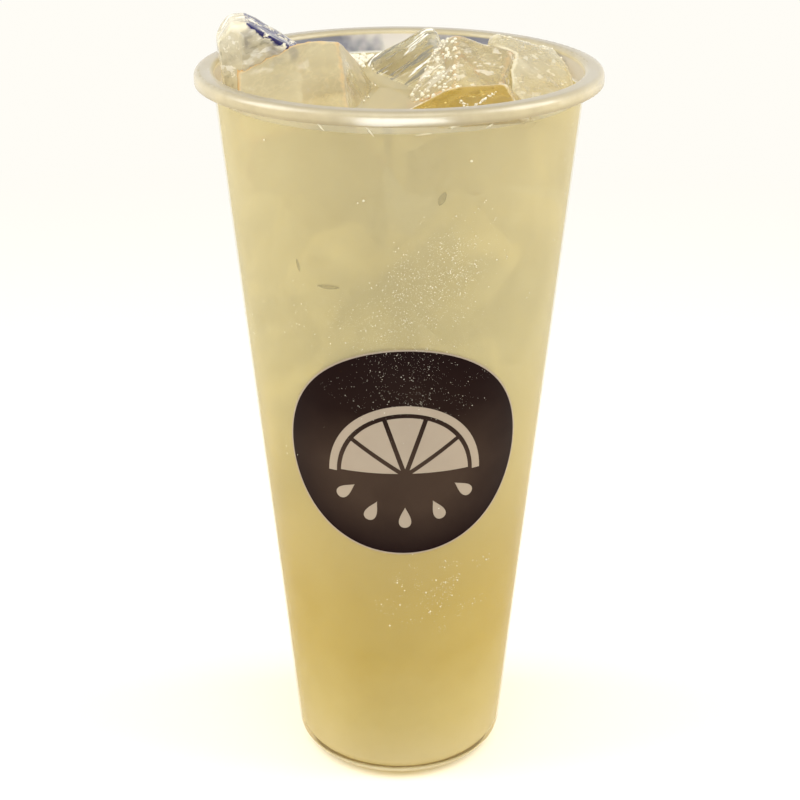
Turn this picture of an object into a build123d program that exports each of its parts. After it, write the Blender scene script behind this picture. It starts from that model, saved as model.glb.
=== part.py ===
"""A tall takeaway cup of iced lemonade, filled nearly to the rim, with ice poking out.

Millimetres, +Z up. The origin is the centre of the cup's foot, on the table; -Y is the front.
Nodes: the cup, the lemonade, and each block of ice that stands out of the lemonade.
"""
from build123d import *
import math
import os

os.makedirs("parts", exist_ok=True)

# The cup: one thin moulding of polypropylene with an overhanging rim.
cup_height = 180.0
rim_diameter = 95.0
rim_overhang = 4.3          # from the outside of the wall to the outside of the skirt, level with its lower edge
foot_diameter = 52.6        # outside of the wall, carried straight down to the table
wall = 0.6
floor_thickness = 0.9
foot_rounding = 6.0         # outside of the corner between wall and foot
recess_diameter = 30.0      # the hollow under the foot
recess_depth = 1.0
skirt_height = 3.2          # from the top of the rim to the lower edge of its skirt
rim_rounding = 1.5          # outside of the bends at the two edges of the rim
lip_rounding = 0.25         # the skirt's lower edge

# The lemonade: its surface lies this far below the top of the rim.
headroom = 6.0

# The ice: blocks with melted edges and broken faces.
edge_melt = 2.2
ice_wall_gap = 0.8          # lemonade between a block and the inside of the cup

rim_radius = rim_diameter / 2
neck_radius = rim_radius - rim_overhang
foot_radius = foot_diameter / 2
skirt_z = cup_height - skirt_height
rim_underside_z = cup_height - wall
floor_z = recess_depth + floor_thickness
drink_level = cup_height - headroom
wall_slope = (neck_radius - foot_radius) / skirt_z
wall_across = wall * math.hypot(1, wall_slope)


def outside_radius(z):
    """The radius of the cup's outside at a height."""
    return foot_radius + wall_slope * z


def inside_radius(z):
    """The radius of the cup's inside at a height."""
    return outside_radius(z) - wall_across


def turned(corners, roundings):
    """Turns a section about the Z axis. Corners are (radius, z); roundings maps some of them to a radius."""
    section = make_face(Plane.XZ * Polyline(*corners, close=True))
    for corner, radius in roundings.items():
        spot = Vector(corner[0], 0, corner[1])
        nearest = section.vertices().sort_by_distance(spot)[0]
        section = fillet(nearest, radius)
    return revolve(section, Axis.Z)


def cup():
    """The cup: a recessed foot, a straight flared wall, and a rim folded out and down into a skirt."""
    foot_edge = (foot_radius, 0)
    neck = (outside_radius(rim_underside_z), rim_underside_z)
    skirt_inside_top = (rim_radius - wall, rim_underside_z)
    skirt_inside_foot = (rim_radius - wall, skirt_z)
    skirt_outside_foot = (rim_radius, skirt_z)
    rim_outside = (rim_radius, cup_height)
    rim_inside = (inside_radius(cup_height), cup_height)
    floor_edge = (inside_radius(floor_z), floor_z)
    corners = [
        (0, recess_depth),
        (recess_diameter / 2, recess_depth),
        (recess_diameter / 2 + recess_depth, 0),
        foot_edge,
        neck,
        skirt_inside_top,
        skirt_inside_foot,
        skirt_outside_foot,
        rim_outside,
        rim_inside,
        floor_edge,
        (0, floor_z),
    ]
    roundings = {
        foot_edge: foot_rounding,
        floor_edge: foot_rounding - wall,
        neck: rim_rounding - wall,
        skirt_inside_top: rim_rounding - wall,
        rim_outside: rim_rounding,
        rim_inside: rim_rounding,
        skirt_inside_foot: lip_rounding,
        skirt_outside_foot: lip_rounding,
    }
    return turned(corners, roundings)


def contents(top, gap=0.0):
    """All that the cup holds up to a height, standing off the wall by a gap."""
    floor_edge = (inside_radius(floor_z) - gap, floor_z)
    corners = [(0, floor_z), floor_edge, (inside_radius(top) - gap, top), (0, top)]
    return turned(corners, {floor_edge: foot_rounding - wall})


def beside_wall(bearing, inward, above):
    """A place by its bearing, counted from +X, its distance in from the wall, and its height over the lemonade."""
    reach = inside_radius(drink_level) - inward
    angle = math.radians(bearing)
    return Pos(reach * math.cos(angle), reach * math.sin(angle), drink_level + above)


def ice_block(size, place, turn, breaks):
    """A block of ice: a box with melted edges, cut by flat breaks, then tilted and put in its place.

    Each break is the direction that it faces, in the block's own axes, and its distance from the centre.
    """
    block = fillet(Box(*size).edges(), edge_melt)
    for direction, distance in breaks:
        facing = Vector(*direction).normalized()
        block = split(block, Plane(origin=facing * distance, z_dir=facing), keep=Keep.BOTTOM)
    return place * Rot(*turn) * block


def largest(shape):
    """The largest solid of a shape that a cut may have parted."""
    return shape.solids().sort_by(SortBy.VOLUME)[-1]


blocks = {
    "ice_tall_left": ice_block(
        size=(19, 18, 36),
        place=beside_wall(bearing=172.8, inward=10.5, above=-1.5),
        turn=(0, -7, 8),
        breaks=[((0.75, 0, 1), 13.2), ((-0.9, 0, 1), 17.0), ((-0.8, -0.8, 0), 9.5)]),
    "ice_front_left": ice_block(
        size=(34, 27, 26),
        place=beside_wall(bearing=204.9, inward=19.7, above=-4.5),
        turn=(30, 8, 6),
        breaks=[((1, 0, 0.75), 12.8), ((-0.45, 0, 1), 10.8), ((-1, 0, -0.2), 15.5)]),
    "ice_middle_back": ice_block(
        size=(24, 31, 21),
        place=beside_wall(bearing=77.8, inward=23.4, above=-8.0),
        turn=(17, -27, 8),
        breaks=[((-0.5, 0, 1), 11.5)]),
    "ice_middle_right": ice_block(
        size=(22, 26, 27),
        place=beside_wall(bearing=3.9, inward=27.8, above=-6.0),
        turn=(16, 10, -16),
        breaks=[((-0.9, -0.2, 1), 12.6), ((1, 0.1, 1), 15.0)]),
    "ice_right": ice_block(
        size=(22, 34, 20),
        place=beside_wall(bearing=9.0, inward=10.4, above=-6.5),
        turn=(16, 20, 10),
        breaks=[((1, 0.2, 0.8), 14.0)]),
    "ice_front_right": ice_block(
        size=(33, 14, 20),
        place=beside_wall(bearing=301.3, inward=12.5, above=-5.0),
        turn=(18, 2, 14),
        breaks=[((-0.5, 0, 1), 9.8), ((1, 0, 0.8), 13.5)]),
}

# A block may stand over the rim's rounded inner edge, but never reaches the wall below it.
over_rim = Pos(0, 0, cup_height) * Cylinder(
    inside_radius(cup_height) + rim_rounding / 2,
    cup_height,
    align=(Align.CENTER, Align.CENTER, Align.MIN))
room = contents(cup_height, ice_wall_gap) + over_rim

# A block gives way to the blocks set before it, and the lemonade to them all.
ice = {}
for name, block in blocks.items():
    block = block & room
    for earlier in ice.values():
        block = block - earlier
    ice[name] = largest(block)

drink = contents(drink_level)
for block in ice.values():
    drink = drink - block
drink = largest(drink)

export_step(cup(), "parts/cup.step")
export_step(drink, "parts/lemonade.step")
for name, block in ice.items():
    export_step(block, f"parts/{name}.step")
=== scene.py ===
"""A tall takeaway cup of iced lemonade: frosted cup, cloudy drink, ice, bubbles, dew and a printed badge."""
import math
import random

import bmesh
import bpy
from mathutils import Matrix, Vector
from mathutils.bvhtree import BVHTree


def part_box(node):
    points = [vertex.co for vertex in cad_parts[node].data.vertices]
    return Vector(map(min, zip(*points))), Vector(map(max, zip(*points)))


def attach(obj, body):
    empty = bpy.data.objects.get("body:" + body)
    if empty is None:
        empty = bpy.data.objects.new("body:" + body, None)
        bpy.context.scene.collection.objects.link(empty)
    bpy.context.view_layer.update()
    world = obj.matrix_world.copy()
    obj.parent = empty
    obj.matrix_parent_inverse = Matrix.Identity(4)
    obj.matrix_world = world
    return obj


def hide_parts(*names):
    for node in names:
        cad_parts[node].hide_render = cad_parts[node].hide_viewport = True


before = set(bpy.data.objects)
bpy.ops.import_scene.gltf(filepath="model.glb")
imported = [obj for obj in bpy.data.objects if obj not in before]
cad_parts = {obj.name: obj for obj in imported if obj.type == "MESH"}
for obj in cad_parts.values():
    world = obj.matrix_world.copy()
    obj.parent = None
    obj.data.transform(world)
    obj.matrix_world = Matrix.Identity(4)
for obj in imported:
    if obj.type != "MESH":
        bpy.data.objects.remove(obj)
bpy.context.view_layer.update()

# ---------------------------------------------------------------------------------------------
# The cup: one thin moulding of polypropylene, frosted so that it is translucent rather than clear.
# Its rim is folded out and down into a skirt, where the doubled plastic is milkier and shinier.
rim_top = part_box("cup")[1].z
drink_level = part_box("lemonade")[1].z
drink_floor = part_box("lemonade")[0].z
neck_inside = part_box("lemonade")[1].x
skirt_foot = rim_top - 0.0032
under_rim = rim_top - 0.0040


def merged_copy(node, name):
    """A copy of a CAD node, its loose triangles joined into one closed skin."""
    piece = bpy.data.objects.new(name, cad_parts[node].data.copy())
    bpy.context.scene.collection.objects.link(piece)
    piece.data.name = name
    piece.data.materials.clear()
    take_up(piece)
    bpy.ops.object.mode_set(mode="EDIT")
    bpy.ops.mesh.select_all(action="SELECT")
    bpy.ops.mesh.remove_doubles(threshold=0.000002)
    bpy.ops.object.mode_set(mode="OBJECT")
    return piece


def take_up(piece):
    """Selects a piece alone and makes it the active one."""
    bpy.ops.object.select_all(action="DESELECT")
    piece.select_set(True)
    bpy.context.view_layer.objects.active = piece


def put_on(piece, paint):
    """Gives a piece its finish and the body that carries it."""
    piece.data.materials.clear()
    piece.data.materials.append(paint.material)
    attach(piece, "root")


class Signal:
    """A socket of some nodes. Maths written on it adds Math nodes."""

    def __init__(self, nodes, socket):
        self.nodes = nodes
        self.socket = socket

    def maths(self, operation, first, second=0.0, clamp=False):
        return self.nodes.node("Math", {"operation": operation, "use_clamp": clamp}, {0: first, 1: second})

    def __add__(self, other):
        return self.maths("ADD", self, other)

    def __sub__(self, other):
        return self.maths("SUBTRACT", self, other)

    def __rsub__(self, other):
        return self.maths("SUBTRACT", other, self)

    def __mul__(self, other):
        return self.maths("MULTIPLY", self, other)

    def __pow__(self, other):
        return self.maths("POWER", self, other)

    __radd__ = __add__
    __rmul__ = __mul__

    def held(self):
        """The value kept between 0 and 1."""
        return self.maths("ADD", self, 0.0, clamp=True)

    def rise(self, start, end):
        """0 below start and 1 above end."""
        return ((self - start) * (1 / (end - start))).held()


class Nodes:
    """The nodes of one material, or of the room."""

    def __init__(self, tree):
        self.tree = tree

    def node(self, kind, settings=None, sockets=None, output=0):
        """One of a new node's outputs. Its settings come first, then a value or a link for its sockets."""
        node = self.tree.nodes.new("ShaderNode" + kind)
        for setting, value in (settings or {}).items():
            if setting == "stops":
                elements = node.color_ramp.elements
                for stop, (position, colour) in enumerate(value):
                    element = elements[stop] if stop < len(elements) else elements.new(position)
                    element.position = position
                    element.color = colour
            else:
                setattr(node, setting, value)
        for socket, value in (sockets or {}).items():
            self.link(value, node.inputs[socket])
        return Signal(self, node.outputs[output])

    def link(self, value, socket):
        """Feeds a signal to a socket, or sets a plain value on it."""
        if isinstance(value, Signal):
            self.tree.links.new(value.socket, socket)
        else:
            socket.default_value = value


class Paint(Nodes):
    """One material. Constants go straight to the shader's own sockets; patterns are fed to them."""

    def __init__(self, name, **constants):
        self.material = bpy.data.materials.new(name)
        self.material.use_nodes = True
        super().__init__(self.material.node_tree)
        self.shader = self.tree.nodes["Principled BSDF"]
        self.output = self.tree.nodes["Material Output"]
        for socket, value in constants.items():
            self.shader.inputs[socket.replace("_", " ")].default_value = value

    def feed(self, socket, value):
        self.link(value, self.shader.inputs[socket])

    def place(self):
        return self.node("TexCoord", output="Object")

    def along(self, axis):
        """Where a point of the piece lies along X, Y or Z."""
        return self.node("SeparateXYZ", sockets={"Vector": self.place()}, output=axis)

    def height(self):
        return self.along("Z")

    def facing(self, axis):
        """How far the surface faces along X, Y or Z."""
        normal = self.node("NewGeometry", output="Normal")
        return self.node("SeparateXYZ", sockets={"Vector": normal}, output=axis)

    def noise(self, scale, detail=2.0, roughness=0.5, stretch=None, turn=(0.0, 0.0, 0.0)):
        """Noise that runs stretch times longer along each of the axes, which are turned first."""
        spot = self.place()
        if stretch:
            spot = self.node("Mapping", {"vector_type": "TEXTURE"}, {
                "Vector": spot, "Rotation": turn, "Scale": stretch})
        return self.node("TexNoise", sockets={
            "Vector": spot, "Scale": scale, "Detail": detail, "Roughness": roughness}, output=0)

    def blend(self, share, first, second):
        """Mixes two colours: the first where share is 0 and the second where it is 1."""
        return self.node("Mix", {"data_type": "RGBA"}, {0: share, 6: first, 7: second}, output=2)

    def relief(self, height, strength, distance):
        """Feeds the shader a bump, and gives the bump for other shaders."""
        bump = self.node("Bump", sockets={"Height": height, "Strength": strength, "Distance": distance})
        self.feed("Normal", bump)
        return bump

    def finish_with(self, share, shader):
        """Mixes another shader over what the output shows so far."""
        shown = Signal(self, self.output.inputs["Surface"].links[0].from_socket)
        mixed = self.node("MixShader", sockets={0: share, 1: shown, 2: shader})
        self.link(mixed, self.output.inputs["Surface"])

    def let_lamps_through(self, colour):
        """Light from the lamps passes through the piece, tinted, and lights what is inside or behind it."""
        shadow_ray = self.node("LightPath", output="Is Shadow Ray")
        self.finish_with(shadow_ray, self.node("BsdfTransparent", sockets={"Color": colour}))


frosted = Paint("frosted_plastic", IOR=1.49, Sheen_Weight=0.08, Sheen_Roughness=0.5, Coat_Roughness=0.33)
frosted.shader.inputs["Sheen Tint"].default_value = (1.0, 0.97, 0.88, 1.0)
cup_height = frosted.height()
above_drink = cup_height.rise(drink_level + 0.0015, drink_level + 0.0030)
flat = frosted.node("VectorMath", {"operation": "MULTIPLY"}, {0: frosted.place(), 1: (1.0, 1.0, 0.0)})
across = frosted.node("VectorMath", {"operation": "LENGTH"}, {0: flat}, output="Value")
facing_out = frosted.node("VectorMath", {"operation": "DOT_PRODUCT"}, {
    0: frosted.node("VectorMath", {"operation": "NORMALIZE"}, {0: flat}),
    1: frosted.node("NewGeometry", output="Normal")}, output="Value")
# The inner neck wall above the drink, whose colour is a painted reflection.
reflecting_neck = (
    cup_height.rise(drink_level + 0.0002, drink_level + 0.0008)
    * (1 - cup_height.rise(rim_top - 0.0014, rim_top - 0.0006))
    * (1 - facing_out.rise(-0.6, -0.2))
    * (1 - across.rise(neck_inside + 0.0014, neck_inside + 0.0018)))
on_rim = cup_height.rise(under_rim, skirt_foot) * (1 - reflecting_neck)
at_foot = 1 - cup_height.rise(0.0030, 0.0042)
foot_shade_line = 1 - cup_height.rise(0.0008, 0.0012)
upward = cup_height.rise(0.055, 0.120)
mottle = frosted.noise(420.0, 4.0)
# Painted reflection inside the neck: dark blue sky mirrored towards the back on each side, a pale painted
# highlight between them, and warm pale grey to the front.
reflection_across = frosted.along("X") + 0.030 * (frosted.noise(90.0, 3.0) - 0.5)
pale_reflection_share = reflection_across.rise(-0.014, -0.009) * (1 - reflection_across.rise(0.004, 0.014))
reflection_at_back = frosted.along("Y").rise(0.012, 0.034)
veil = frosted.blend(upward, (0.60, 0.46, 0.14, 1.0), (0.70, 0.67, 0.50, 1.0))
# The foot is painted pale cream: painted light for the light that comes through the clear base.
veil = frosted.blend(at_foot, veil, (0.82, 0.72, 0.46, 1.0))
veil = frosted.blend(above_drink, veil, (0.47, 0.36, 0.025, 1.0))
painted_neck_reflection = frosted.blend(pale_reflection_share, (0.15, 0.155, 0.195, 1.0), (0.66, 0.62, 0.57, 1.0))
veil = frosted.blend(reflecting_neck, veil, frosted.blend(reflection_at_back, (0.50, 0.44, 0.33, 1.0), painted_neck_reflection))
# A thin dark line of painted shade along the very edge of the foot.
veil = frosted.blend(foot_shade_line, veil, (0.16, 0.10, 0.05, 1.0))
# The rim's cream across the height of the roll, with painted shade: darker at the foot of the skirt and over
# the top of the roll, lightest between.
rim_tone_and_shade = frosted.node("ValToRGB", {"stops": [
    (0.0, (0.38, 0.30, 0.15, 1.0)),
    (0.30, (0.57, 0.48, 0.28, 1.0)),
    (0.60, (0.60, 0.51, 0.31, 1.0)),
    (0.75, (0.53, 0.455, 0.28, 1.0)),
    (0.96, (0.33, 0.28, 0.165, 1.0)),
    (1.0, (0.26, 0.22, 0.13, 1.0)),
]}, {"Fac": cup_height.rise(skirt_foot, rim_top)})
dull = frosted.noise(130.0, 5.0, 0.6).rise(0.40, 0.62)
rim_tone_and_shade = frosted.blend(0.22 * dull, rim_tone_and_shade, (0.25, 0.20, 0.10, 1.0))
frosted.feed("Base Color", frosted.blend(on_rim, veil, rim_tone_and_shade))
frosted.feed("Alpha", (
    0.20 + 0.40 * above_drink * (1 - reflecting_neck) + 0.16 * on_rim + 0.54 * reflecting_neck
    + 0.06 * (mottle - 0.5) + 0.50 * at_foot + 0.20 * foot_shade_line).held())
frosted.feed("Coat Weight", on_rim)
lip_slope = rim_top - cup_height.maths("MAXIMUM", cup_height, under_rim)
frosted.relief(lip_slope, 1.0, 0.16)
frosted.feed("Roughness", 0.46 - 0.26 * on_rim)
frosted.let_lamps_through((0.93, 0.91, 0.86, 1.0))

cup = merged_copy("cup", "frosted_cup")
bpy.ops.object.shade_smooth_by_angle(angle=math.radians(35))
put_on(cup, frosted)
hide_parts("cup")

# ---------------------------------------------------------------------------------------------
# The lemonade: a cloudy drink, filled to just under the rim and cut round the ice that floats in it.
# It reaches a little way into the wall and into the ice, and creeps up both at its surface.
into_wall = 0.00025
into_ice = 0.0006
# How far inwards and how far down each step of the meniscus goes.
meniscus_steps = ((0.0005, 0.00035), (0.0008, 0.00020))

lemonade = merged_copy("lemonade", "lemonade_fill")
cup_skin = BVHTree.FromObject(cup, bpy.context.evaluated_depsgraph_get())


def select_verts(piece, test):
    """Selects the vertices that pass a test, in edit mode."""
    bpy.ops.object.mode_set(mode="EDIT")
    bpy.ops.mesh.select_mode(type="VERT")
    bpy.ops.mesh.select_all(action="DESELECT")
    mesh = bmesh.from_edit_mesh(piece.data)
    for vertex in mesh.verts:
        vertex.select_set(test(vertex))
    mesh.select_flush_mode()
    bmesh.update_edit_mesh(piece.data)


def on_cup(vertex):
    return cup_skin.find_nearest(vertex.co)[3] < 0.0001


take_up(lemonade)
select_verts(lemonade, lambda vertex: not on_cup(vertex) and vertex.co.z < drink_level - 0.0001)
bpy.ops.transform.shrink_fatten(value=into_ice)
select_verts(lemonade, on_cup)
bpy.ops.transform.shrink_fatten(value=into_wall)
bpy.ops.mesh.select_mode(type="FACE")
bpy.ops.mesh.select_all(action="DESELECT")
mesh = bmesh.from_edit_mesh(lemonade.data)
for face in mesh.faces:
    face.select_set(face.normal.z > 0.9 and face.calc_center_median().z > drink_level - 0.0003)
bmesh.update_edit_mesh(lemonade.data)
for inward, down in meniscus_steps:
    bpy.ops.mesh.inset(thickness=inward, use_even_offset=False)
    bpy.ops.transform.translate(value=(0, 0, -down))
bpy.ops.object.mode_set(mode="OBJECT")
bpy.ops.object.shade_smooth_by_angle(angle=math.radians(40))

drink = Paint("lemonade", Roughness=0.06, IOR=1.34)
level = drink.height()
# The drink's colour up its height. The lowest stops are painted shade, a dark line at the drink's foot, and
# the next is painted light, a pale band just above it.
tone = drink.node("ValToRGB", {"stops": [
    (0.0, (0.16, 0.09, 0.03, 1.0)),
    (0.0045, (0.20, 0.12, 0.04, 1.0)),
    (0.0065, (0.76, 0.69, 0.47, 1.0)),
    (0.09, (0.645, 0.545, 0.235, 1.0)),
    (0.21, (0.555, 0.412, 0.075, 1.0)),
    (0.36, (0.605, 0.468, 0.14, 1.0)),
    (0.62, (0.665, 0.555, 0.22, 1.0)),
    (0.85, (0.63, 0.545, 0.28, 1.0)),
    (1.0, (0.63, 0.56, 0.34, 1.0)),
]}, {"Fac": level.rise(drink_floor, drink_level)})
cloud = drink.noise(38.0, 3.0, stretch=(1.0, 1.0, 1.4))
wisp = drink.noise(90.0, 5.0)
cloudy = drink.blend(
    (0.5 + (cloud - 0.5) * 1.4 + (wisp - 0.5) * 1.0).held(),
    drink.blend(0.24, tone, (0.44, 0.35, 0.11, 1.0)),
    drink.blend(0.24, tone, (0.72, 0.66, 0.40, 1.0)))
surface = level.rise(0.10, 0.12) * drink.facing("Z").rise(0.6, 0.95)
cloudy = drink.blend(surface, cloudy, (0.55, 0.51, 0.36, 1.0))
drink.feed("Base Color", cloudy)
clear = 0.12 + 0.21 * level.rise(0.035, 0.085) + 0.05 * surface
drink.finish_with(0.35, drink.node("BsdfTranslucent", sockets={"Color": cloudy}))
drink.finish_with(clear, drink.node("BsdfTransparent", sockets={"Color": (0.96, 0.90, 0.72, 1.0)}))
drink.let_lamps_through((0.84, 0.77, 0.48, 1.0))
put_on(lemonade, drink)
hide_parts("lemonade")

# ---------------------------------------------------------------------------------------------
# The ice that stands out of the drink: blocks broken from larger ones, their edges and faces melted.
# Clear ice, wet all over, with a little frost in it.
ice_ior = 1.31
melt = bpy.data.textures.new("melt", "CLOUDS")
melt.noise_scale = 0.009
melt.noise_depth = 1
pits = bpy.data.textures.new("pits", "CLOUDS")
pits.noise_scale = 0.0018


def modify(piece, kind, **settings):
    """Adds a modifier to a piece and applies it."""
    take_up(piece)
    modifier = piece.modifiers.new(kind.title(), kind)
    for setting, value in settings.items():
        setattr(modifier, setting, value)
    bpy.ops.object.modifier_apply(modifier=modifier.name)


def ice_paint(name, tint, frost, frost_colour, edge_light_colour, streaks=0.0, mirrored=None):
    """Clear wet ice with soft frost inside and a painted highlight along its edges, in the edge light
    colour.
    Frost is the share of the block it covers, streaks how strongly dark and white cracks show, and mirrored
    what the face that slopes right mirrors."""
    paint = Paint(name, Roughness=0.03, IOR=ice_ior, Transmission_Weight=1.0)
    afloat = paint.height().rise(drink_level - 0.004, drink_level)
    paint.feed("Base Color", paint.blend(afloat, (0.97, 0.95, 0.86, 1.0), tint))
    ripple = paint.noise(160.0, 2.0) + 0.15 * paint.noise(900.0, 2.0)
    bump = paint.relief(ripple, 0.6, 0.0006)
    # Along the sharply rounded edges the ice is painted with the edge colour, a painted highlight.
    edge = paint.node("NewGeometry", output="Pointiness").rise(0.510, 0.537)
    vein = paint.noise(95.0, 4.0, 0.6) * 2 - 1
    crack = (1 - vein.maths("ABSOLUTE", vein)) ** 24
    haze = paint.noise(70.0, 2.0)
    inside = paint.blend(afloat, (0.72, 0.67, 0.48, 1.0), frost_colour)
    share = frost + (haze - 0.5) * 0.8 + 0.08 * crack + 0.70 * edge
    if streaks:
        split = paint.noise(520.0, 3.0, 0.6, stretch=(6.0, 1.6, 1.0), turn=(0.3, -0.5, 0.4))
        dark = streaks * afloat * split.rise(0.57, 0.63)
        pale = streaks * afloat * (1 - split.rise(0.38, 0.44))
        inside = paint.blend(dark, inside, (0.11, 0.10, 0.07, 1.0))
        inside = paint.blend(pale, inside, (0.92, 0.90, 0.84, 1.0))
        share = share + dark + pale
    if mirrored:
        sloping = paint.facing("X").rise(0.09, 0.24)
        flecks = paint.noise(330.0, 3.0, 0.7, stretch=(1.0, 2.0, 0.6)).rise(0.40, 0.47)
        back = paint.along("Y").rise(0.0095, 0.0140)
        high = paint.height().rise(drink_level + 0.004, drink_level + 0.008)
        mirror = sloping * flecks * (1 - back) * high
        share = share + mirror
    colour = paint.blend(edge, inside, edge_light_colour)
    if mirrored:
        colour = paint.blend(mirror, colour, mirrored)
    white = paint.node("BsdfPrincipled", sockets={
        "Base Color": colour, "Roughness": 0.08, "IOR": ice_ior, "Normal": bump,
        "Specular IOR Level": 0.15 if mirrored else 0.5})
    paint.finish_with(share.held() * 0.94, white)
    paint.let_lamps_through((0.92, 0.90, 0.84, 1.0))
    return paint


# Edge colours are painted light: a pale painted highlight, or peach for painted refraction of the drink
# through the edge.
pale_edge_light = (0.76, 0.70, 0.54, 1.0)
peach_edge_light = (0.50, 0.31, 0.12, 1.0)
ice_paints = {
    "ice_tall_left": ice_paint(
        "ice_creamy", tint=(0.97, 0.95, 0.88, 1.0), frost=0.66, frost_colour=(0.66, 0.60, 0.43, 1.0),
        edge_light_colour=pale_edge_light, streaks=0.5, mirrored=(0.006, 0.006, 0.080, 1.0)),
    "ice_front_left": ice_paint(
        "ice_milky", tint=(0.93, 0.92, 0.82, 1.0), frost=0.66, frost_colour=(0.50, 0.435, 0.27, 1.0),
        edge_light_colour=peach_edge_light),
    "ice_middle_back": ice_paint(
        "ice_clear", tint=(0.84, 0.84, 0.78, 1.0), frost=0.10, frost_colour=(0.42, 0.40, 0.31, 1.0),
        edge_light_colour=pale_edge_light, streaks=0.8),
    "ice_middle_right": ice_paint(
        "ice_bubbly", tint=(0.93, 0.89, 0.76, 1.0), frost=0.34, frost_colour=(0.43, 0.365, 0.21, 1.0),
        edge_light_colour=peach_edge_light, streaks=0.3),
    "ice_right": ice_paint(
        "ice_smooth", tint=(0.95, 0.93, 0.84, 1.0), frost=0.46, frost_colour=(0.54, 0.49, 0.34, 1.0),
        edge_light_colour=(0.60, 0.54, 0.38, 1.0), streaks=0.2),
    "ice_front_right": ice_paint(
        "ice_amber", tint=(0.88, 0.72, 0.26, 1.0), frost=0.40, frost_colour=(0.42, 0.29, 0.05, 1.0),
        edge_light_colour=pale_edge_light),
}

for node in sorted(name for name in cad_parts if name.startswith("ice_")):
    block = merged_copy(node, node.replace("ice_", "block_"))
    modify(block, "REMESH", mode="VOXEL", voxel_size=0.0006)
    modify(block, "SMOOTH", factor=0.5, iterations=5)
    modify(block, "DISPLACE", texture=melt, texture_coords="LOCAL", strength=0.0010, mid_level=0.5)
    modify(block, "DISPLACE", texture=pits, texture_coords="LOCAL", strength=0.00016, mid_level=0.5)
    modify(block, "SMOOTH", factor=0.5, iterations=2)
    bpy.ops.object.shade_smooth()
    put_on(block, ice_paints[node])
    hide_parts(node)

# ---------------------------------------------------------------------------------------------
# The ice sunk in the drink: smaller blocks packed against the wall in four layers, with some missing, worn
# flat where they lean on the wall and frozen together where they meet. They show through the frosted wall
# and the cloudy drink only as soft, paler shapes.
sunk_layers = ((0.138, 6), (0.118, 5), (0.098, 5), (0.080, 4))
sunk_size = 0.021
sunk_gap = 0.0009
lean_in = sunk_size * 0.52
cut_from_origin = 0.40
worn_edge = 0.0018
low_cut = 0.03
high_cut = 0.15


def wall_at(height):
    """How far out the front of the wall is at a height."""
    return -cup_skin.ray_cast(Vector((0, -0.2, height)), Vector((0, 1, 0)))[0].y


wall_slope = (wall_at(high_cut) - wall_at(low_cut)) / (high_cut - low_cut)


def outside_radius(height):
    """How far out the plain wall is at a height, by its straight slope."""
    return wall_at(low_cut) + wall_slope * (height - low_cut)


def join_up(pieces, name):
    """Joins pieces into the first of them and gives it a name."""
    bpy.ops.object.select_all(action="DESELECT")
    for piece in pieces:
        piece.select_set(True)
    bpy.context.view_layer.objects.active = pieces[0]
    if len(pieces) > 1:
        bpy.ops.object.join()
    joined = bpy.context.object
    joined.name = joined.data.name = name
    return joined


wall_across = outside_radius(drink_level) - neck_inside
sunk_ice = Paint("ice_sunk", Roughness=0.25, IOR=ice_ior)
depth = sunk_ice.noise(60.0, 2.0)
crack = sunk_ice.noise(240.0, 5.0, 0.65)
sunk_ice.feed("Base Color", sunk_ice.blend(
    (0.5 + (depth - 0.5) * 2.0 + (crack - 0.5) * 0.8).held(),
    (0.46, 0.41, 0.24, 1.0), (0.88, 0.85, 0.70, 1.0)))
sunk_ice.relief(crack, 0.4, 0.0006)
sunk_ice.let_lamps_through((0.70, 0.68, 0.56, 1.0))

random.seed(7)
cubes = []
for layer, (height, count) in enumerate(sunk_layers):
    for number in range(count):
        bearing = math.tau * (number + 0.4 * layer + random.uniform(-0.12, 0.12)) / count
        reach = outside_radius(height) - wall_across - sunk_gap - lean_in
        spot = Vector((
            reach * math.cos(bearing), reach * math.sin(bearing), height + random.uniform(-0.002, 0.002)))
        bpy.ops.object.select_all(action="DESELECT")
        bpy.ops.mesh.primitive_cube_add(size=sunk_size * random.uniform(0.80, 1.12), location=spot)
        cube = bpy.context.object
        bpy.ops.object.mode_set(mode="EDIT")
        bpy.ops.mesh.select_all(action="SELECT")
        for axis in "XZ":
            bpy.ops.transform.rotate(
                value=random.uniform(0, math.pi), orient_axis=axis, center_override=spot)
        # A cut that passes near the origin at a random slant: it misses most blocks, takes a corner off
        # some and takes others away whole.
        cut_way = Vector((random.gauss(0, 1), random.gauss(0, 1), random.gauss(0, 1))).normalized()
        bpy.ops.mesh.bisect(
            plane_co=cut_way * sunk_size * cut_from_origin, plane_no=cut_way,
            use_fill=True, clear_outer=True)
        bpy.ops.mesh.select_all(action="SELECT")
        bpy.ops.mesh.bevel(offset=worn_edge, segments=3, affect="EDGES")
        bpy.ops.object.mode_set(mode="OBJECT")
        cubes.append(cube)
sunk = join_up(cubes, "sunk_ice")
bpy.ops.object.transform_apply(location=True, rotation=True, scale=True)
modify(sunk, "REMESH", mode="VOXEL", voxel_size=0.0009)
modify(sunk, "DISPLACE", texture=melt, texture_coords="LOCAL", strength=0.0022, mid_level=0.5)
for vertex in sunk.data.vertices:
    across = math.hypot(vertex.co.x, vertex.co.y)
    most = outside_radius(vertex.co.z) - wall_across - sunk_gap
    if across > most:
        vertex.co.x *= most / across
        vertex.co.y *= most / across
modify(sunk, "SMOOTH", factor=0.5, iterations=3)
bpy.ops.object.shade_smooth()
put_on(sunk, sunk_ice)

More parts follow.
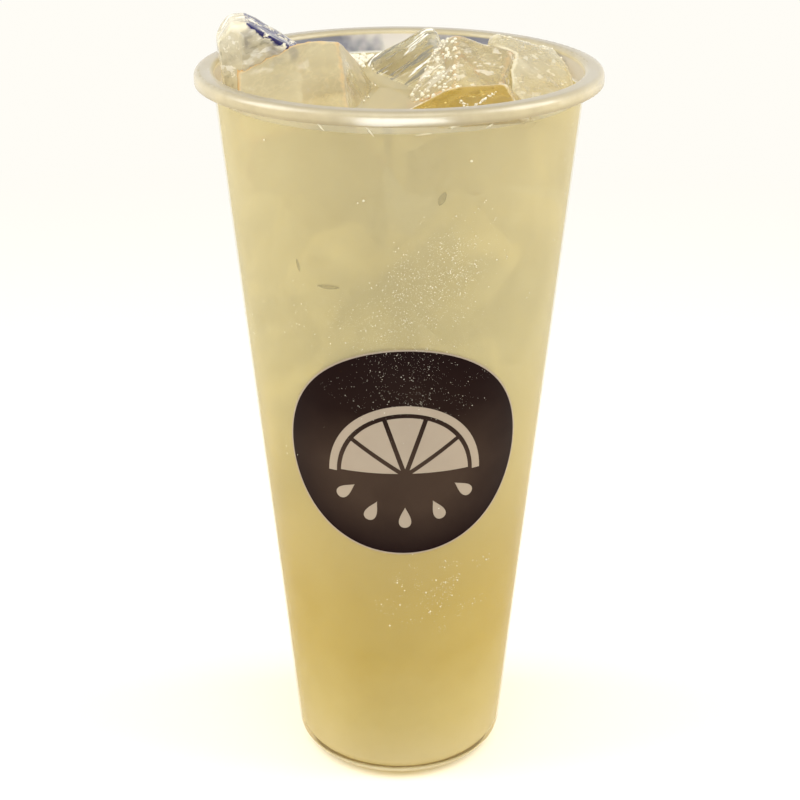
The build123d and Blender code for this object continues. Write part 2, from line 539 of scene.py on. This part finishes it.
# ---------------------------------------------------------------------------------------------
# The print: inks laid on the outside of the wall, a cream edge under a brown oval, and on the oval
# a plain cream half slice of fruit over a curved row of drops. The brown lies thinner in the middle
# and low down than along its edge, as a printing pad leaves it.
print_height = 0.0965
print_aside = 0.0014
oval_wide = 0.0293
oval_tall = 0.0270
oval_edge = 0.0004
ink_thick = 0.00003
strip_wide = 0.0018
slice_radius = 0.0185
slice_foot = -0.0055
rind = 0.0020
pith = 0.0011
slice_parts = 5
drop_count = 5
drop_radius = 0.0021
drop_long = 1.35
drop_arc = 0.0185
drop_arc_centre = 0.0015
drop_spread = math.radians(100)


def arc(radius, start, end, steps, centre=(0.0, 0.0)):
    """Points along an arc, between two angles."""
    angles = [start + (end - start) * step / steps for step in range(steps + 1)]
    return [(centre[0] + radius * math.cos(angle), centre[1] + radius * math.sin(angle)) for angle in angles]


def ink_piece(name, outlines, layer, paint):
    """Lays flat outlines, given across and up from the print's centre, on the wall as one coat of ink.
    Each is cut into strips, so that it bends round the wall."""
    shapes = []
    for outline in outlines:
        bpy.ops.object.select_all(action="DESELECT")
        bpy.ops.mesh.primitive_circle_add(vertices=len(outline), radius=0.01, fill_type="NGON")
        shape = bpy.context.object
        for vertex, (across, up) in zip(shape.data.vertices, outline):
            vertex.co = (across, 0, up)
        bpy.ops.object.mode_set(mode="EDIT")
        least = min(across for across, up in outline)
        most = max(across for across, up in outline)
        for cut in range(1, math.ceil((most - least) / strip_wide)):
            bpy.ops.mesh.select_all(action="SELECT")
            bpy.ops.mesh.bisect(plane_co=(least + cut * strip_wide, 0, 0), plane_no=(1, 0, 0))
        bpy.ops.object.mode_set(mode="OBJECT")
        shapes.append(shape)
    piece = join_up(shapes, name)
    lean = math.cos(math.atan(wall_slope))
    for vertex in piece.data.vertices:
        height = print_height + vertex.co.z * lean
        reach = outside_radius(height) + ink_thick * (1.5 + layer)
        bearing = (print_aside + vertex.co.x) / reach
        vertex.co = (reach * math.sin(bearing), -reach * math.cos(bearing), height)
    take_up(piece)
    bpy.ops.object.mode_set(mode="EDIT")
    bpy.ops.mesh.select_all(action="SELECT")
    bpy.ops.mesh.quads_convert_to_tris()
    bpy.ops.mesh.normals_make_consistent(inside=False)
    mesh = bmesh.from_edit_mesh(piece.data)
    if sum(face.normal.y * face.calc_area() for face in mesh.faces) > 0:
        bpy.ops.mesh.flip_normals()
    bpy.ops.object.mode_set(mode="OBJECT")
    modify(piece, "SOLIDIFY", thickness=ink_thick, offset=1.0)
    bpy.ops.object.shade_smooth_by_angle(angle=math.radians(35))
    put_on(piece, paint)


def oval(wide, tall):
    """An oval outline, by its half width and half height."""
    return [(wide * across, tall * up) for across, up in arc(1.0, 0, math.tau, 96)[:-1]]


def slice_part(number):
    """One part of the half slice: a wedge between two walls of pith."""
    half = math.pi / slice_parts / 2
    middle = half * (2 * number + 1)
    reach = slice_radius - rind - pith
    apex = pith * 0.5 / math.sin(half)
    trim = math.asin(pith * 0.5 / reach)
    point = (apex * math.cos(middle), slice_foot + apex * math.sin(middle))
    return [point] + arc(reach, middle - half + trim, middle + half - trim, 12, (0, slice_foot))


def drop(number):
    """A drop whose point is turned to the slice."""
    turn = drop_spread * (number / (drop_count - 1) - 0.5)
    centre = (drop_arc * math.sin(turn), drop_arc_centre - drop_arc * math.cos(turn))
    points = []
    for step in range(32):
        angle = math.tau * step / 32
        side = drop_radius * math.sin(angle) * math.sin(angle / 2) ** 1.5
        along = drop_radius * drop_long * math.cos(angle)
        points.append((
            centre[0] + side * math.cos(turn) - along * math.sin(turn),
            centre[1] + side * math.sin(turn) + along * math.cos(turn)))
    return points


brown_ink = Paint("brown_ink", Roughness=0.35, IOR=1.5, Specular_IOR_Level=0.06)
sheer = brown_ink.noise(55.0, 4.0)
solid = brown_ink.height().rise(print_height - 0.004, print_height + 0.012)
from_middle = brown_ink.node("VectorMath", {"operation": "MULTIPLY"}, {
    0: brown_ink.node("VectorMath", {"operation": "SUBTRACT"}, {
        0: brown_ink.place(), 1: (print_aside, 0.0, print_height)}),
    1: (1 / oval_wide, 0.0, 1 / oval_tall)})
rim_share = brown_ink.node("VectorMath", {"operation": "LENGTH"}, {0: from_middle}, output="Value")
coverage = (solid + (sheer - 0.5) * 0.8).held()
thin_ink = brown_ink.blend(coverage, (0.054, 0.032, 0.021, 1.0), (0.013, 0.004, 0.002, 1.0))
full_ink = (rim_share.rise(0.55, 0.98) + (sheer - 0.5) * 0.5).held()
brown_ink.feed("Base Color", brown_ink.blend(full_ink, thin_ink, (0.008, 0.001, 0.0005, 1.0)))
brown_ink.relief(brown_ink.noise(900.0, 2.0), 0.2, 0.00005)
cream_ink = Paint("cream_ink", Roughness=0.45, IOR=1.5)
worn = cream_ink.noise(120.0, 4.0)
cream_ink.feed("Base Color", cream_ink.blend(worn, (0.34, 0.265, 0.190, 1.0), (0.41, 0.325, 0.235, 1.0)))

rind_outline = (
    arc(slice_radius, 0, math.pi, 40, (0, slice_foot))
    + arc(slice_radius - rind, math.pi, 0, 40, (0, slice_foot)))
ink_piece("print_edge", [oval(oval_wide + oval_edge, oval_tall + oval_edge)], 0, cream_ink)
ink_piece("print_oval", [oval(oval_wide, oval_tall)], 1, brown_ink)
ink_piece(
    "print_fruit",
    [rind_outline] + [slice_part(number) for number in range(slice_parts)]
    + [drop(number) for number in range(drop_count)],
    2, cream_ink)

# ---------------------------------------------------------------------------------------------
# Fine beads: bubbles caught under the wall, dew on the print, faint dark marks of painted shade on the wall,
# and froth on the ice and along the line where it meets the drink. All are made from one small ball, a few
# dozen faces each.
random.seed(11)


def beads(name, places, paint, subdivisions=1):
    """Joins one small ball for each place, given as its centre and its radius."""
    bpy.ops.object.select_all(action="DESELECT")
    bpy.ops.mesh.primitive_ico_sphere_add(subdivisions=subdivisions, radius=1.0)
    ball = bpy.context.object
    joined = bmesh.new()
    for centre, radius in places:
        copy = ball.data.copy()
        copy.transform(Matrix.Translation(centre) @ Matrix.Scale(radius, 4))
        joined.from_mesh(copy)
        bpy.data.meshes.remove(copy)
    joined.to_mesh(ball.data)
    joined.free()
    ball.name = ball.data.name = name
    take_up(ball)
    bpy.ops.object.shade_smooth()
    put_on(ball, paint)
    return ball


def on_wall(across, height, lift):
    """A place on the wall, by its distance round from the front and its height."""
    reach = outside_radius(height) + lift
    bearing = across / reach
    return Vector((reach * math.sin(bearing), -reach * math.cos(bearing), height))


# The beads are pale and bright: painted glints on real bubbles, dew and froth.
glint = Paint("bubble_glint", Roughness=0.05, IOR=1.33, Alpha=0.75)
glint.feed("Base Color", glint.blend(
    glint.noise(500.0, 1.0), (0.80, 0.74, 0.55, 1.0), (0.95, 0.92, 0.80, 1.0)))

# Each mark of painted shade: its place across and up, how far it runs across and up, and its thickness.
marks = (
    (0.0094, 0.1595, 0.0014, 0.0028, 0.00075),
    (-0.0163, 0.1380, 0.0062, 0.0002, 0.00050),
    (-0.0240, 0.1420, 0.0008, -0.0034, 0.00035),
)
shade_mark_balls = 13
# Across, up and radius.
lone_bubbles = (
    (0.0159, 0.1676, 0.00034),
    (-0.0077, 0.1592, 0.00030),
    (-0.0090, 0.1586, 0.00024),
    (-0.0325, 0.1700, 0.00028),
    (0.0095, 0.0815, 0.00022),
    (-0.0023, 0.0484, 0.00024),
)
# Pockets of air at the liquid line, pale beads that stand as painted highlights there: across, up, and how
# far each runs across and up.
air_pocket_glints = (
    (-0.0172, 0.1752, 0.0016, -0.0016),
    (-0.0062, 0.1748, 0.0016, -0.0019),
    (0.0052, 0.1742, 0.0032, 0.0003),
    (0.0200, 0.1750, 0.0014, 0.0006),
)
pocket_balls = 9
# Clouds of bubbles: across, up, spread across, spread up, how many, and their size beside the usual.
clouds = (
    (0.0080, 0.1455, 0.0055, 0.0045, 560, 1.0),
    (0.0060, 0.1390, 0.0065, 0.0035, 700, 1.0),
    (0.0010, 0.1320, 0.0070, 0.0045, 640, 0.9),
    (0.0165, 0.1450, 0.0040, 0.0070, 240, 0.9),
    (-0.0060, 0.1270, 0.0110, 0.0040, 560, 0.8),
    (0.0010, 0.1140, 0.0075, 0.0050, 800, 0.7),
    (0.0085, 0.0565, 0.0065, 0.0045, 300, 1.3),
    (-0.0600, 0.1200, 0.0200, 0.0200, 260, 0.9),
    (0.0750, 0.1250, 0.0200, 0.0200, 260, 0.9),
    (0.1180, 0.1000, 0.0220, 0.0240, 260, 0.9),
)
fizz = []
for across, height, wide, tall, count, size in clouds:
    clumps = [(random.gauss(across, wide), random.gauss(height, tall)) for clump in range(count // 9)]
    for number in range(count):
        clump = random.choice(clumps)
        up = min(random.gauss(clump[1], tall * 0.22), drink_level - 0.002)
        spot = on_wall(random.gauss(clump[0], wide * 0.22), up, 0.00008)
        fizz.append((spot, size * (random.uniform(0.00003, 0.00008) + 0.00013 * random.random() ** 9)))
for across, height, long, rise in air_pocket_glints:
    for step in range(pocket_balls):
        share = step / (pocket_balls - 1) - 0.5
        spot = on_wall(across + long * share, height + rise * share, 0.00004)
        fizz.append((spot, 0.00024 - 0.00022 * abs(share)))
fizz += [(on_wall(across, height, 0.00004), size) for across, height, size in lone_bubbles]
beads("fizz", fizz, glint)

# Faint dark marks laid flat on the wall: painted shade.
shade = Paint("shade", Roughness=0.5, IOR=1.34, Alpha=0.25)
shade.feed("Base Color", shade.blend(
    shade.noise(300.0, 3.0), (0.30, 0.25, 0.11, 1.0), (0.42, 0.36, 0.19, 1.0)))
shadows = []
for across, height, long, rise, thick in marks:
    for step in range(shade_mark_balls):
        share = step / (shade_mark_balls - 1) - 0.5
        spot = on_wall(across + long * share, height + rise * share, 0.0)
        shadows.append((spot, thick * (1.1 - 4 * share * share)))
dents = beads("dents", shadows, shade, subdivisions=2)
modify(dents, "REMESH", mode="VOXEL", voxel_size=0.00010)
for vertex in dents.data.vertices:
    across = math.hypot(vertex.co.x, vertex.co.y)
    vertex.co.xy *= min(1.0, (outside_radius(vertex.co.z) + 0.00004) / across)

# Rows of pale beads on the amber block, painted highlights on its top, each from one end to the other as
# seen from above.
glint_rows = (
    ((0.0133, -0.0290), (0.0148, -0.0315)),
    ((0.0160, -0.0323), (0.0185, -0.0288)),
    ((0.0185, -0.0288), (0.0211, -0.0253)),
)
row_count = 22
back_count = 150
line_count = 170


def on_ice(block, facing, least, low, count, small, large):
    """Places on the faces of a block that look one way and lie over a height."""
    skin = bpy.data.objects[block].data
    facing = Vector(facing).normalized()
    faces = [face for face in skin.polygons if face.normal.dot(facing) > least and face.center.z > low]
    return [
        (face.center - face.normal * small * 0.3, random.uniform(small, large) * random.uniform(0.5, 1.0))
        for face in random.choices(faces, k=count)]


froth = on_ice("block_middle_right", (-0.7, -0.6, 0.4), 0.60, drink_level - 0.001, 160, 0.00020, 0.00070)
froth += on_ice("block_right", (0.3, 0.6, 0.8), 0.80, drink_level + 0.003, 130, 0.00010, 0.00040)
froth += on_ice("block_tall_left", (-0.2, -0.3, 0.6), 0.50, drink_level + 0.002, 30, 0.00010, 0.00030)
for number in range(back_count):
    bearing = math.radians(random.gauss(112, 9))
    reach = neck_inside - 0.0008 - abs(random.gauss(0, 0.0045))
    froth.append((
        Vector((reach * math.cos(bearing), reach * math.sin(bearing), drink_level - 0.0003)),
        random.uniform(0.0003, 0.0009)))
amber_skin = BVHTree.FromObject(bpy.data.objects["block_front_right"], bpy.context.evaluated_depsgraph_get())
for start, end in glint_rows:
    for step in range(row_count):
        spot = Vector((*start, rim_top + 0.02)).lerp(Vector((*end, rim_top + 0.02)), step / (row_count - 1))
        spot += Vector((random.gauss(0, 0.00022), random.gauss(0, 0.00022), 0))
        landing = amber_skin.ray_cast(spot, Vector((0, 0, -1)))[0]
        froth.append((landing, random.uniform(0.00006, 0.00042) * random.random() ** 0.5))
drink_verts = lemonade.data.vertices
ice_lines = []
for edge in lemonade.data.edges:
    ends = [drink_verts[number].co for number in edge.vertices]
    if all(end.z > drink_level - 0.0002 and end.xy.length < neck_inside - 0.002 for end in ends):
        ice_lines.append(ends)
lengths = [(start - end).length for start, end in ice_lines]
for start, end in random.choices(ice_lines, weights=lengths, k=line_count):
    spot = start.lerp(end, random.random())
    spot += Vector((random.gauss(0, 0.0004), random.gauss(0, 0.0004), -0.0001))
    froth.append((spot, 0.00009 + 0.00026 * random.random() ** 2))
beads("froth", froth, glint, subdivisions=2)

# ---------------------------------------------------------------------------------------------
# The stage: a pale floor, a soft white room, a soft light on each side and one overhead. A wide cool
# strip in front shows only as gloss on the rim and the ice.


def seen_rays(nodes):
    """1 for what is seen straight, mirrored or through something clear, and 0 for light that falls."""
    rays = nodes.node("LightPath", output="Is Camera Ray") + nodes.node("LightPath", output="Is Glossy Ray")
    return (rays + nodes.node("LightPath", output="Is Transmission Ray")).held()


floor = Paint("floor", Roughness=0.6)
floor.shader.inputs["Base Color"].default_value = (0.90, 0.88, 0.81, 1.0)
away = floor.node("VectorMath", {"operation": "LENGTH"}, {0: floor.place()}, output="Value").rise(0.08, 0.60)
plain = floor.node("Emission", sockets={"Color": (1.0, 0.98, 0.92, 1.0), "Strength": 1.0})
floor.finish_with(away * seen_rays(floor), plain)
bpy.ops.object.select_all(action="DESELECT")
bpy.ops.mesh.primitive_plane_add(size=12.0, location=(0, 0, -0.0002))
ground = bpy.context.object
ground.name = "floor"
ground.data.materials.append(floor.material)

world = bpy.data.worlds.new("room")
world.use_nodes = True
room = Nodes(world.node_tree)
backdrop = world.node_tree.nodes["Background"]
backdrop.inputs["Color"].default_value = (1.0, 0.985, 0.95, 1.0)
room.link(0.67 + 0.33 * seen_rays(room), backdrop.inputs["Strength"])
bpy.context.scene.world = world


def soft_light(name, spot, target, width, tall, watts, colour=(1.0, 1.0, 1.0), gloss_only=False):
    """A soft box at a spot, turned to its target."""
    lamp = bpy.data.lights.new(name, "AREA")
    lamp.shape = "RECTANGLE"
    lamp.size = width
    lamp.size_y = tall
    lamp.energy = watts
    lamp.color = colour
    holder = bpy.data.objects.new(name, lamp)
    bpy.context.scene.collection.objects.link(holder)
    holder.location = spot
    holder.rotation_euler = (Vector(target) - Vector(spot)).to_track_quat("-Z", "Y").to_euler()
    holder.visible_diffuse = not gloss_only


middle = (0, 0, rim_top / 2)
soft_light("left_light", (-0.58, -0.05, 0.60), middle, 0.45, 0.6, 4.15)
soft_light("right_light", (0.58, -0.05, 0.60), middle, 0.45, 0.6, 4.15)
soft_light("overhead_light", (0.0, -0.22, 0.90), (0, 0, rim_top), 0.50, 0.42, 1.8)
soft_light(
    "front_light", (0.0, -1.20, 0.26), (0, 0, rim_top), 1.00, 0.42, 20.0,
    colour=(0.90, 0.95, 1.0), gloss_only=True)

view_aside = 0.0002
view_back = 0.400
view_height = 0.0848
view_down = 22.95
camera = bpy.data.cameras.new("camera")
camera.sensor_width = 36.0
camera.lens = 77.85
camera.clip_start = 0.01
camera.clip_end = 20.0
viewpoint = bpy.data.objects.new("camera", camera)
bpy.context.scene.collection.objects.link(viewpoint)
viewpoint.location = (view_aside, -view_back, rim_top + view_height)
viewpoint.rotation_euler = (math.radians(90 - view_down), 0, 0)
bpy.context.scene.camera = viewpoint
bpy.context.scene.view_settings.view_transform = "Standard"
